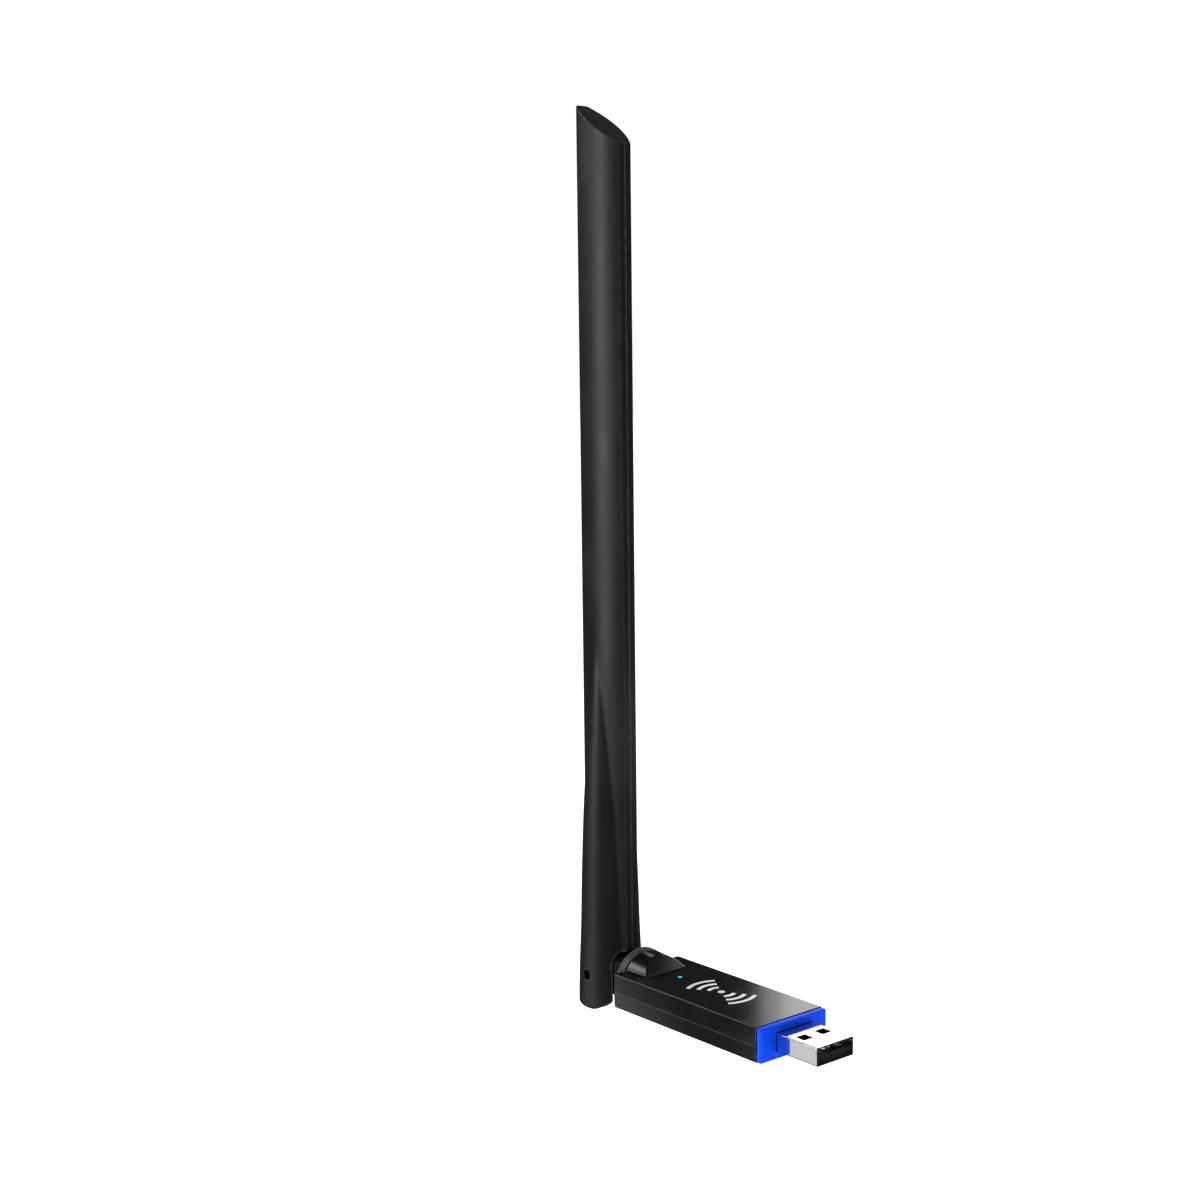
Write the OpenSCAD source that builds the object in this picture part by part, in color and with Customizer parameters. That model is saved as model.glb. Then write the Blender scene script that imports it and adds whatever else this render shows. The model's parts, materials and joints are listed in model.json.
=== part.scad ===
// USB wireless network adapter with a folding, swivelling antenna.
// Frame: the origin is the centre of the collar's front face, where the plug comes out.
// +X points out of the plug's mouth and +Z out of the face with the indicator.
// The swivel turns about the X axis, and the antenna folds about a pin along Y.

/* [USB plug] */
// Length of the plug in front of the collar
plug_length = 13; // [12:0.25:14]
// Width of the plug's steel shell
plug_width = 12; // [11.8:0.1:12.2]
// Height of the plug's steel shell
plug_height = 4.5; // [4.4:0.05:4.6]
// Thickness of the shell's sheet steel
plug_sheet = 0.3; // [0.25:0.05:0.35]

/* [Housing] */
// Length of the black housing behind the collar
body_length = 51; // [50:0.2:54]
// Width of the housing at its parting line
body_width = 22; // [21.6:0.1:24]
// Height of the housing between its flat faces
body_height = 8.7; // [8.5:0.1:9]
// Thickness of the housing's walls
wall = 1.2; // [1:0.1:1.4]
// Height of the parting line, measured from the middle plane
parting_z = -0.3; // [-0.4:0.1:-0.1]
// Length of the collar in front of the housing
collar_length = 1.8; // [1.5:0.1:2.4]

/* [Swivel] */
// Radius of the round fairing around the swivel
hump_radius = 8.1; // [8:0.05:8.2]
// Radius of the swivel's outer ring
ring_radius = 8.3; // [8.2:0.05:8.5]
// Width of the swivel's outer ring
ring_width = 2.3; // [2:0.1:2.6]
// Radius of the neck behind the ring, before its sides, top and bottom are cut flat
neck_radius = 6.1; // [5.8:0.1:6.1]

/* [Antenna] */
// Distance from the collar's front face back to the hinge pin
pin_distance = 66.8; // [66.5:0.1:68]
// Height of the antenna's centre line above the pin, at the tip's slanted cut
tip_height = 214.1; // [150:1:240]
// Slope of the slanted tip, in degrees
tip_slope = 32; // [20:1:40]
// Width of the flat blade, along the housing
blade_width = 16.3; // [15.6:0.1:16.5]
// Greatest thickness of the blade, across the housing
blade_thickness = 8.4; // [8:0.1:9]
// Thickness of the blade's narrow flat sides
blade_edge = 3.8; // [3.2:0.1:4]
// Radius of the round base at its lower end
base_radius = 8.3; // [8.2:0.05:8.4]

/* [Hidden] */
$fn = 96;

// A gap between faces that meet, and one between faces that turn on each other
fit_gap = 0.05;
turn_gap = 0.3;
// How far a cutting body reaches past the body that it cuts
past = 1;

// Housing
body_front = -collar_length;
body_rear = body_front - body_length;
half_height = body_height / 2;
side_draft = 0.15;
edge_chamfer = 0.25;
corner_radius = 0.4;
cavity_half_width = body_width / 2 - wall - side_draft;
cavity_half_height = half_height - wall;
rear_wall = 2;
cavity_rear = body_rear + rear_wall;
lip_width = 0.5;
lip_height = 0.8;

// Collar
collar_width = body_width - 0.3;
collar_height = body_height - 0.3;
collar_bevel = 0.4;
spigot_length = 2.4;

// Swivel: fairing, bearing and shaft
hump_nose_x = body_rear + 7.7;
hump_cut_run = 3.6;
hump_taper = 0.35;
ring_clearance = 0.4;
swivel_room_radius = 6.4;
swivel_room_length = 1.7;
shaft_radius = 4.55;
shaft_bore = 1.5;
ring_front = body_rear - ring_clearance;
ring_rear = ring_front - ring_width;
shaft_end = cavity_rear + swivel_room_length - 0.2;
clip_rear = cavity_rear + 0.1;
clip_thickness = 0.6;
clip_groove_radius = 3.65;
clip_radius = 5.6;
seal_recess_depth = 0.8;
seal_outer_radius = 6;

// Hinge, about the pin
pin_x = -pin_distance;
pin_radius = 1.2;
pin_half_length = 6.6;
knuckle_radius = 6;
knuckle_half_width = 4.6;
neck_half_height = 5.7;
slot_half_width = 4.95;
slot_radius = knuckle_radius + 0.4;
slot_top = 7.1;
slot_corner = 4;
washer_radius = 3.4;

// Antenna, measured from the pin
blade_offset = 0.55;
blade_base = slot_top + 0.6;
blade_curve = (pow(blade_width / 2, 2) + pow((blade_thickness - blade_edge) / 2, 2))
    / (blade_thickness - blade_edge);
tip_wall = 2;
base_bottom = -9;
base_fillet = 0.9;
heel_radius = 9;
base_wall = 1.4;
base_floor = slot_top + 1.4;
// The round base: height above the pin, and the part of the base radius that is left there
base_profile = [[12, 0.925], [25, 0.885], [42, 0.78], [60, 0.65], [84, 0.51]];

// Electronics: the board, and the low corner and the size of what is soldered to it
board_thickness = 1;
board_front = -8.2;
board_rear = -43;
board_half_width = 8.8;
led_x = body_rear + 12.8;
led_size = [1.6, 0.8, 0.6];
pipe_radius = 0.5;
chip_corner = [-29, -3, 0];
chip_size = [6, 6, 0.85];
crystal_corner = [-20.5, 4, 0];
crystal_size = [3.2, 2.5, 0.7];
inductor_corner = [-17, -7.2, 0];
inductor_size = [4, 4, 1.8];
passive_size = [1.6, 0.8, 0.7];
passive_x = [-34.5, -31.5, -28.5, -25.5, -22.5];
passive_y = [-6, 5.6];

// Places of the plug's four contacts across its width
contact_y = [-3.5, -1, 1, 3.5];
contact_half_width = 0.5;

// Coaxial lead
coax_radius = 0.57;
coax_board_x = -40.5;
coax_board_y = 4.5;
coax_lift = 2.9;

// Antenna board
strip_half_width = 4.6;
strip_half_thickness = 0.4;
strip_bottom = 16;
strip_top = 200;
feed_z = 104;
element_size = [6.8, 0.12, 26];
element_z = [feed_z - 60, feed_z - 28, feed_z + 2, feed_z + 34, feed_z + 66];
foam_half_size = [3, 2.3, 1.4];
foam_z = [40, 130, 190];

function arc(centre, radius, from, to, steps = 8) = [
    for (i = [0:steps])
        let (a = from + (to - from) * i / steps)
        centre + radius * [cos(a), sin(a)]
];

// Extrudes a profile drawn in Y and Z along X, from x0 to x1
module along_x(x0, x1) {
    translate([x0, 0, 0])
        rotate([90, 0, 90])
            linear_extrude(x1 - x0)
                children();
}

// Extrudes a profile drawn in X and Z along Y, both ways from the middle plane
module along_y(half_width) {
    rotate([90, 0, 0])
        linear_extrude(2 * half_width, center = true)
            children();
}

// A cylinder along X, from x0 to x1
module rod_x(x0, x1, radius) {
    translate([x0, 0, 0])
        rotate([0, 90, 0])
            cylinder(h = x1 - x0, r = radius);
}

// A cylinder along Y, both ways from the middle plane
module rod_y(half_length, radius) {
    rotate([90, 0, 0])
        cylinder(h = 2 * half_length, r = radius, center = true);
}

// A box from one corner to the opposite one
module block(low, high) {
    translate(low)
        cube(high - low);
}

// A point on the smooth curve through four neighbouring points, t of the way from the second to the third
function smooth_point(a, b, c, d, t) =
    b + (c - a) * t / 2 + (a - 2.5 * b + 2 * c - d / 2) * t * t + (1.5 * (b - c) + (d - a) / 2) * t * t * t;

// A smooth curve through all the points, with some steps from each to the next
function smooth_path(points, steps = 4) = [
    for (i = [0:len(points) - 2], k = [0:steps - 1])
        smooth_point(points[max(i - 1, 0)], points[i], points[i + 1], points[min(i + 2, len(points) - 1)],
            k / steps),
    points[len(points) - 1]
];

function unit(v) = v / norm(v);

// A round lead along a smooth path, swept as rings that face along it. The path stays in or
// near the plane that is square to flat_side.
module lead(points, radius, flat_side, sides = 12) {
    path = smooth_path(points);
    last = len(path) - 1;
    rings = [
        for (i = [0:last])
            let (
                ahead = unit(path[min(i + 1, last)] - path[max(i - 1, 0)]),
                across = unit(cross(flat_side, ahead)),
                over = cross(ahead, across)
            )
            for (k = [0:sides - 1])
                path[i] + radius * (cos(360 * k / sides) * across + sin(360 * k / sides) * over)
    ];
    walls = [
        for (i = [0:last - 1], k = [0:sides - 1])
            let (next = (k + 1) % sides)
            [i * sides + k, (i + 1) * sides + k, (i + 1) * sides + next, i * sides + next]
    ];
    ends = [[for (k = [0:sides - 1]) k], [for (k = [sides - 1:-1:0]) last * sides + k]];
    polyhedron(points = rings, faces = concat(walls, ends), convexity = 4);
}

// Everything above (side = 1) or below (side = -1) a height
module half_space(side, height) {
    reach = 120;
    translate([-reach, -reach / 2, side > 0 ? height : height - reach])
        cube([2 * reach, reach, reach]);
}

// ---------- Housing ----------

// The housing's outline across X: drafted sides and chamfered long edges
module body_section() {
    w = body_width / 2;
    top = w - side_draft;
    polygon([
        [w, parting_z], [top, half_height - edge_chamfer], [top - edge_chamfer, half_height],
        [edge_chamfer - top, half_height], [-top, half_height - edge_chamfer], [-w, parting_z],
        [-top, edge_chamfer - half_height], [edge_chamfer - top, -half_height],
        [top - edge_chamfer, -half_height], [top, edge_chamfer - half_height]
    ]);
}

// A plan outline with round corners, between two X positions
module rounded_plan(x0, x1, half_width, radius) {
    translate([x0 + radius, -half_width])
        square([x1 - x0 - 2 * radius, 2 * half_width]);
    translate([x0, radius - half_width])
        square([x1 - x0, 2 * (half_width - radius)]);
    for (x = [x0 + radius, x1 - radius], y = [-1, 1])
        translate([x, y * (half_width - radius)])
            circle(radius);
}

module body_block() {
    intersection() {
        along_x(body_rear, body_front)
            body_section();
        translate([0, 0, -half_height])
            linear_extrude(body_height)
                rounded_plan(body_rear, body_front + corner_radius, body_width / 2, corner_radius);
    }
}

// The round fairing over the swivel, a little narrower towards the plug and cut back by a slanted
// face above and below the housing
module hump() {
    top = hump_radius + past;
    crest_x = hump_nose_x - hump_cut_run * (top - half_height) / (hump_radius - half_height);
    intersection() {
        translate([body_rear, 0, 0])
            rotate([0, 90, 0])
                cylinder(h = hump_nose_x - body_rear, r1 = hump_radius, r2 = hump_radius - hump_taper);
        along_y(top)
            polygon([[body_rear, -top], [body_rear, top], [crest_x, top],
                [hump_nose_x, half_height], [hump_nose_x, -half_height], [crest_x, -top]]);
    }
}

// The space inside both shells: the board's room, the swivel's room, its bearing and its seal
module body_cavity() {
    block([cavity_rear, -cavity_half_width, -cavity_half_height],
        [body_front + past, cavity_half_width, cavity_half_height]);
    rod_x(cavity_rear - fit_gap, cavity_rear + swivel_room_length, swivel_room_radius);
    rod_x(body_rear - past, cavity_rear + past, shaft_radius + fit_gap);
    rod_x(body_rear - past, body_rear + seal_recess_depth, seal_outer_radius + 2 * fit_gap);
}

module body_half(side) {
    intersection() {
        difference() {
            union() {
                body_block();
                hump();
            }
            body_cavity();
        }
        half_space(side, parting_z);
    }
}

module housing_top() {
    color("#17181a")
        difference() {
            body_half(1);
            translate([led_x, 0, 0])
                cylinder(h = body_height, r = pipe_radius + fit_gap);
        }
}

// The lower shell carries a lip inside the upper one and four posts under the board
module housing_bottom() {
    post_radius = 0.9;
    lip_outer = cavity_half_width - fit_gap;
    color("#1b1c1e") {
        body_half(-1);
        for (side = [-1, 1]) {
            lip_block(side, lip_outer, parting_z + lip_height);
            lip_block(side, lip_outer + wall / 2, parting_z - fit_gap);
        }
        for (x = [board_front - 3, board_rear + 3], y = [-1, 1])
            translate([x, y * (board_half_width - 2), -cavity_half_height - wall / 2])
                cylinder(h = cavity_half_height + wall / 2 - board_thickness, r = post_radius);
    }
}

// One length of the lip along a side, from its inner face out to a distance from the middle plane
module lip_block(side, outer, top) {
    inner = cavity_half_width - fit_gap - lip_width;
    block([cavity_rear + 1, side > 0 ? inner : -outer, parting_z - lip_height],
        [body_front - spigot_length - turn_gap, side > 0 ? outer : -inner, top]);
}

// The coloured collar closes the housing's front and holds the plug
module plug_collar() {
    spigot = [spigot_length, 2 * (cavity_half_width - fit_gap), 2 * (cavity_half_height - fit_gap)];
    b = collar_bevel;
    y = collar_width / 2;
    z = collar_height / 2;
    color("#1f4fe0")
        difference() {
            union() {
                along_x(body_front, -b)
                    polygon([[y, z - b], [y - b, z], [b - y, z], [-y, z - b],
                        [-y, b - z], [b - y, -z], [y - b, -z], [y, b - z]]);
                along_x(-b, 0)
                    square([2 * (y - b), 2 * (z - b)], center = true);
                translate([body_front - spigot_length, -spigot.y / 2, -spigot.z / 2])
                    cube(spigot);
            }
            along_x(body_front - spigot_length - past, past)
                square([plug_width + 2 * fit_gap, plug_height + 2 * fit_gap], center = true);
        }
}

// Clear plastic pipe that carries the indicator's light to the top face
module light_pipe() {
    flange_radius = 1.2;
    flange_top = cavity_half_height - fit_gap;
    color("#28c8ff")
        translate([led_x, 0, 0]) {
            translate([0, 0, led_size.z + fit_gap])
                cylinder(h = half_height - led_size.z - fit_gap, r = pipe_radius);
            translate([0, 0, flange_top - wall / 2])
                cylinder(h = wall / 2, r = flange_radius);
        }
}

// ---------- USB plug ----------

// Folded steel shell with two windows above and two below
module usb_shell() {
    shell_rear = board_front + 0.2;
    window = [2.9, 3.1];
    window_setback = 5.4;
    window_x = plug_length - window_setback - window.x / 2;
    window_y = 3.05;
    color("#c9ccd1")
        difference() {
            along_x(shell_rear, plug_length)
                square([plug_width, plug_height], center = true);
            along_x(shell_rear - past, plug_length + past)
                square([plug_width - 2 * plug_sheet, plug_height - 2 * plug_sheet], center = true);
            for (side = [-1, 1])
                block([window_x - window.x / 2, side * window_y - window.y / 2, -plug_height],
                    [window_x + window.x / 2, side * window_y + window.y / 2, plug_height]);
        }
}

// Moulded block that fills the shell's rear, with the tongue in its lower half
module usb_insulator() {
    half_width = plug_width / 2 - plug_sheet - fit_gap;
    half_block = plug_height / 2 - plug_sheet - fit_gap;
    block_front = 2;
    tongue_front = plug_length - 0.6;
    color("#141414")
        difference() {
            union() {
                block([board_front + 0.2, -half_width, -half_block], [block_front, half_width, half_block]);
                block([block_front - past, -half_width, -half_block], [tongue_front, half_width, 0]);
            }
            for (y = contact_y)
                block([board_front, y - contact_half_width - fit_gap, -0.15],
                    [plug_length - 1.4, y + contact_half_width + fit_gap, 0.2]);
        }
}

// Four contact blades on top of the tongue, whose tails lie on the board
module usb_contacts() {
    color("#d8b25a")
        for (y = contact_y) {
            setback = abs(y) > 2 ? 1.6 : 2.6;
            block([board_front - 1.8, y - contact_half_width, 0.02],
                [plug_length - setback, y + contact_half_width, 0.15]);
        }
}

// ---------- Electronics ----------

module circuit_board() {
    notch_half_width = 5;
    color("#155a3a")
        difference() {
            block([board_rear, -board_half_width, -board_thickness], [board_front, board_half_width, 0]);
            block([board_rear - past, -notch_half_width, -2], [board_rear + 1.5, 0, past]);
        }
}

module wifi_chip() {
    color("#202024")
        translate(chip_corner)
            cube(chip_size);
}

module crystal() {
    color("#b9bcc2")
        translate(crystal_corner)
            cube(crystal_size);
}

module power_inductor() {
    color("#3a3a3e")
        translate(inductor_corner)
            difference() {
                cube(inductor_size);
                translate([inductor_size.x / 2, inductor_size.y / 2, inductor_size.z - 0.4])
                    cylinder(h = past, r = 1.4);
            }
}

// Ceramic capacitors and resistors in two rows beside the chip, one row stopping short of the crystal
module board_passives() {
    color("#b08d5a")
        for (x = passive_x, y = passive_y)
            if (y < 0 || x < -24)
                translate([x, y, 0])
                    cube(passive_size);
}

module indicator_led() {
    color("#e9f2d8")
        translate([led_x - led_size.x / 2, -led_size.y / 2, 0])
            cube(led_size);
}

// ---------- Coaxial lead ----------

// From its solder joint on the board to the mouth of the swivel's shaft
module coax_in_housing() {
    route = [
        [coax_board_x - 2 * fit_gap, coax_board_y, coax_radius],
        [board_rear + 0.5, coax_board_y, coax_radius],
        [shaft_end + 4, coax_board_y - 1.6, 0.4],
        [shaft_end + 2, coax_board_y - 3.7, 0.1],
        [shaft_end + turn_gap + fit_gap, 0, 0]
    ];
    color("#3c3d40")
        lead(route, coax_radius, [0, 0, 1]);
}

// A low block of solder, hollowed along its top
module coax_solder() {
    joint_size = [1.6, 2.2, 1.1];
    hollow_radius = 0.9;
    hollow_height = 1.8;
    color("#c4c7cc")
        difference() {
            translate([coax_board_x, coax_board_y - joint_size.y / 2, 0])
                cube(joint_size);
            translate([0, coax_board_y, hollow_height])
                rod_x(coax_board_x - past, coax_board_x + joint_size.x + past, hollow_radius);
        }
}

// Along the shaft and the neck, then over the pin
module coax_in_swivel() {
    route = [
        [shaft_end, 0, 0],
        [ring_rear, 0, 0],
        [pin_x + 7, 0, 1.6],
        [pin_x + 3, 0, coax_lift],
        [pin_x + 0.6, 0, coax_lift + 1.1],
        [pin_x, 0, knuckle_radius - turn_gap]
    ];
    color("#3c3d40")
        lead(route, coax_radius, [0, 1, 0]);
}

// Up the round base and beside the antenna board to its feed point
module coax_in_antenna() {
    side = strip_half_thickness + coax_radius + fit_gap;
    color("#3c3d40")
        translate([pin_x, 0, 0])
            lead([[0, 0, knuckle_radius + turn_gap], [0, 0, base_floor + 1], [0, side, strip_bottom - 2],
                [0, side, strip_bottom + 6], [0, side, feed_z - 1.4]], coax_radius, [1, 0, 0]);
}

// ---------- Swivel ----------

// The finely textured ring between the housing and the neck
module swivel_ring() {
    chamfer = 0.35;
    color("#8f9296")
        translate([ring_rear, 0, 0])
            rotate([0, 90, 0])
                rotate_extrude()
                    polygon([[shaft_radius + fit_gap, 0], [ring_radius - chamfer, 0], [ring_radius, chamfer],
                        [ring_radius, ring_width - chamfer], [ring_radius - chamfer, ring_width],
                        [shaft_radius + fit_gap, ring_width]]);
}

// Shaft, neck and hinge barrel in one moulding, hollow for the coaxial lead
module swivel_knuckle() {
    channel = coax_radius + 0.25;
    color("#161719")
        difference() {
            union() {
                rod_x(ring_rear, shaft_end, shaft_radius);
                intersection() {
                    rod_x(pin_x, ring_rear, neck_radius);
                    block([pin_x, -knuckle_half_width, -neck_half_height],
                        [ring_rear, knuckle_half_width, neck_half_height]);
                }
                translate([pin_x, 0, 0])
                    rod_y(knuckle_half_width, knuckle_radius);
            }
            difference() {
                rod_x(clip_rear - fit_gap, clip_rear + clip_thickness + fit_gap, shaft_radius + past);
                rod_x(clip_rear - past, clip_rear + clip_thickness + past, clip_groove_radius);
            }
            rod_x(ring_rear - 2, shaft_end + past, shaft_bore);
            translate([pin_x, 0, 0]) {
                rod_y(knuckle_half_width + past, pin_radius + fit_gap);
                coax_channel(channel);
            }
        }
}

// Room for the lead: up out of the shaft's bore, then a slot over the pin from upright to straight back
module coax_channel(half_width) {
    inner = pin_radius + 1;
    bore_end = ring_rear - pin_x - 2;
    along_y(half_width)
        polygon([[bore_end + 0.5, -shaft_bore], [bore_end + 0.5, shaft_bore], [5, coax_lift + 1],
            [0.9, knuckle_radius + past], [-knuckle_radius - past, knuckle_radius + past],
            [-knuckle_radius - past, -0.9], for (p = arc([0, 0], inner, 200, 90)) p, [5, coax_lift - 1.4]]);
}

// Rubber ring that gives the swivel its drag
module friction_ring() {
    color("#0d0d0d")
        translate([ring_front + fit_gap, 0, 0])
            rotate([0, 90, 0])
                rotate_extrude()
                    translate([shaft_radius + fit_gap, 0])
                        square([seal_outer_radius - shaft_radius - fit_gap,
                            body_rear + seal_recess_depth - ring_front - 2 * fit_gap]);
}

// Open spring-steel ring in the shaft's groove
module retaining_clip() {
    opening = 4.4;
    color("#aeb2b8")
        difference() {
            rod_x(clip_rear, clip_rear + clip_thickness, clip_radius);
            rod_x(clip_rear - past, clip_rear + clip_thickness + past, clip_groove_radius + fit_gap);
            block([clip_rear - past, -opening / 2, -clip_radius - past],
                [clip_rear + clip_thickness + past, opening / 2, 0]);
        }
}

// ---------- Hinge ----------

module hinge_pin() {
    color("#b7bbc0")
        translate([pin_x, 0, 0])
            rod_y(pin_half_length, pin_radius);
}

// One thin friction washer on each side of the barrel
module hinge_washers() {
    color("#d9d9d4")
        translate([pin_x, 0, 0])
            difference() {
                rod_y(slot_half_width - fit_gap / 2, washer_radius);
                rod_y(knuckle_half_width + fit_gap, washer_radius + past);
                rod_y(slot_half_width + past, pin_radius + fit_gap);
            }
}

// ---------- Antenna ----------

// The blade's lens-shaped outline as a solid: two wide curved faces and two narrow flat ones
module blade(inset, z0, z1) {
    middle = blade_curve - blade_thickness / 2;
    translate([blade_offset, 0, 0])
        intersection() {
            translate([0, -middle, z0])
                cylinder(h = z1 - z0, r = blade_curve - inset, $fn = 180);
            translate([0, middle, z0])
                cylinder(h = z1 - z0, r = blade_curve - inset, $fn = 180);
            translate([inset - blade_width / 2, -blade_thickness, z0])
                cube([blade_width - 2 * inset, 2 * blade_thickness, z1 - z0]);
        }
}

// Everything above the slanted tip, lowered by a wall's thickness
module above_tip(lowered) {
    translate([blade_offset, 0, tip_height - lowered])
        rotate([0, tip_slope, 0])
            translate([-blade_width, -blade_thickness, 0])
                cube([2 * blade_width, 2 * blade_thickness, blade_width * 2]);
}

// Below the pin and towards the ring, what the base would sweep past when the antenna folds back
module heel_cut() {
    reach = base_radius + past;
    difference() {
        block([0, -reach, base_bottom - past], [reach, reach, 0]);
        rod_y(reach + past, heel_radius);
    }
}

// The round base: wide and filleted at the hinge, and running out on the blade's faces
module round_base() {
    rotate_extrude()
        polygon(concat(
            [[0, base_bottom]],
            arc([base_radius - base_fillet, base_bottom + base_fillet], base_fillet, -90, 0),
            [for (p = base_profile) [p[1] * base_radius, p[0]]],
            [[0, base_profile[len(base_profile) - 1][0]]]
        ));
}

// The room inside the round base, above the hinge
module base_room() {
    room_top = 61;
    inner = [for (p = base_profile)
        if (p[0] > base_floor && p[0] < room_top) [p[1] * base_radius - base_wall, p[0]]];
    rotate_extrude()
        polygon(concat([[0, base_floor], [inner[0].x, base_floor]], inner, [[0, inner[len(inner) - 1].y]]));
}

// The hinge slot: open to the front and to the bottom, so that the base turns round the neck
module hinge_slot() {
    r = slot_corner;
    along_x(0, base_radius + 2) {
        translate([-slot_half_width, base_bottom - past])
            square([2 * slot_half_width, slot_top - r - base_bottom + past]);
        translate([r - slot_half_width, base_bottom])
            square([2 * (slot_half_width - r), slot_top - base_bottom]);
        for (side = [-1, 1])
            translate([side * (slot_half_width - r), slot_top - r])
                circle(r);
    }
    rod_y(slot_half_width, slot_radius);
    block([-neck_half_height - 0.4, -slot_half_width, base_bottom - past], [past, slot_half_width, 0]);
}

// side = -1 is the front half, with the open end of the pin's hole, and 1 is the rear half
module antenna_cover(side) {
    hole_end = side < 0 ? base_radius + past : pin_half_length + fit_gap;
    translate([pin_x, 0, 0])
        difference() {
            union() {
                blade(0, blade_base, tip_height + blade_width);
                round_base();
            }
            above_tip(0);
            difference() {
                blade(wall, base_floor + 3, tip_height + blade_width);
                above_tip(tip_wall);
            }
            base_room();
            hinge_slot();
            heel_cut();
            cylinder(h = base_floor + 1, r = coax_radius + 0.3);
            translate([0, side * hole_end / 2, 0])
                rod_y(hole_end / 2, pin_radius + fit_gap);
            translate([-30, side > 0 ? -60 : 0, -30])
                cube([60, 60, 300]);
        }
}

module antenna_front_cover() {
    color("#1d1e20")
        antenna_cover(-1);
}

module antenna_rear_cover() {
    color("#1d1e20")
        antenna_cover(1);
}

// Long printed board that carries the radiating elements
module antenna_board() {
    color("#c9a968")
        translate([pin_x + blade_offset, 0, 0])
            block([-strip_half_width, -strip_half_thickness, strip_bottom],
                [strip_half_width, strip_half_thickness, strip_top]);
}

// Copper elements of a stacked dipole, in pairs above and below the feed point
module dipole_elements() {
    color("#c77b3e")
        for (z = element_z)
            translate([pin_x + blade_offset - element_size.x / 2, -strip_half_thickness - element_size.y, z])
                cube(element_size);
}

module feed_solder() {
    color("#c4c7cc")
        translate([pin_x, strip_half_thickness, feed_z])
            block([-1.2, 0, -1.3], [1.2, 1.3, 1.3]);
}

// Foam blocks that stop the board rattling in the covers
module foam_pads() {
    half = foam_half_size;
    in_front = strip_half_thickness + 0.3;
    behind = strip_half_thickness + 2 * coax_radius + 3 * fit_gap;
    color("#4a4a4e")
        translate([pin_x + blade_offset, 0, 0])
            for (z = foam_z) {
                block([-half.x, -half.y, z - half.z], [half.x, -in_front, z + half.z]);
                block([-half.x, behind, z - half.z], [half.x, half.y, z + half.z]);
            }
}

housing_top();
housing_bottom();
plug_collar();
light_pipe();
usb_shell();
usb_insulator();
usb_contacts();
circuit_board();
wifi_chip();
crystal();
power_inductor();
board_passives();
indicator_led();
coax_in_housing();
coax_solder();
swivel_ring();
swivel_knuckle();
friction_ring();
retaining_clip();
coax_in_swivel();
hinge_pin();
hinge_washers();
antenna_front_cover();
antenna_rear_cover();
antenna_board();
dipole_elements();
feed_solder();
coax_in_antenna();
foam_pads();
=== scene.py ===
import json
import math

import bmesh
import bpy
from mathutils import Matrix, Vector


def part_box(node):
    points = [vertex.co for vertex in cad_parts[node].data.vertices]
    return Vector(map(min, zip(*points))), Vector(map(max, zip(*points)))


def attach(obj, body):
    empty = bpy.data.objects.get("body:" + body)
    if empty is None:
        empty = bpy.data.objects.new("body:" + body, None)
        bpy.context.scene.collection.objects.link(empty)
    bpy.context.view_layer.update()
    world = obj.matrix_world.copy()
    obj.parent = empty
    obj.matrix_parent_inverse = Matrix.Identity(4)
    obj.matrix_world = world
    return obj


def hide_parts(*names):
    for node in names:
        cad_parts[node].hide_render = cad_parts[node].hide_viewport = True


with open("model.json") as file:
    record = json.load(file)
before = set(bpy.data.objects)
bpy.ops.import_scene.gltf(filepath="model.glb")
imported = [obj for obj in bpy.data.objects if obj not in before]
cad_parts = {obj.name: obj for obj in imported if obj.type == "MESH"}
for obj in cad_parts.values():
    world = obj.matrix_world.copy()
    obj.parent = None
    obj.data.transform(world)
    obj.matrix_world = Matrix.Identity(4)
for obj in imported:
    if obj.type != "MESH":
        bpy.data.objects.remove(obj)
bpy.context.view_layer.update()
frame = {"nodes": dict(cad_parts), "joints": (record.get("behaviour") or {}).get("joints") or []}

# The looks of a USB wireless adapter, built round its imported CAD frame.
# Shapes and places are worked out in millimetres in the CAD's own frame. piece() turns shapes into metres.
MM = 0.001
scene = bpy.context.scene


def corners(node):
    """The lowest and highest corner of a CAD node, in millimetres"""
    low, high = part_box(node)
    return low / MM, high / MM


def joint_place(name):
    """A point on a joint's axis, in millimetres"""
    return next(Vector(joint["pos_m"]) / MM for joint in frame["joints"] if joint["name"] == name)


# ---------- Camera ----------

CAMERA_AZIMUTH = math.radians(50.33)
CAMERA_ELEVATION = math.radians(7.95)
CAMERA_ROLL = math.radians(-0.68)
CAMERA_TARGET = Vector((-39.33, -25.01, 101.67))
CAMERA_DISTANCE = 463.13
LENS = 59.36


def make_camera():
    """A camera that looks at its target. Azimuth 0 is on the -Y side and 90 on the +X side."""
    a, e, r = CAMERA_AZIMUTH, CAMERA_ELEVATION, CAMERA_ROLL
    back = Vector((math.sin(a) * math.cos(e), -math.cos(a) * math.cos(e), math.sin(e)))
    level = Vector((math.cos(a), math.sin(a), 0))
    above = back.cross(level)
    right = level * math.cos(r) + above * math.sin(r)
    up = above * math.cos(r) - level * math.sin(r)
    camera = bpy.data.objects.new("camera", bpy.data.cameras.new("camera"))
    camera.data.lens = LENS
    camera.data.clip_start = 0.01
    camera.matrix_world = (
        Matrix.Translation((CAMERA_TARGET + back * CAMERA_DISTANCE) * MM)
        @ Matrix((right, up, back)).transposed().to_4x4()
    )
    scene.collection.objects.link(camera)
    scene.camera = camera


make_camera()

# ---------- Sizes, from the frame ----------

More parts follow.
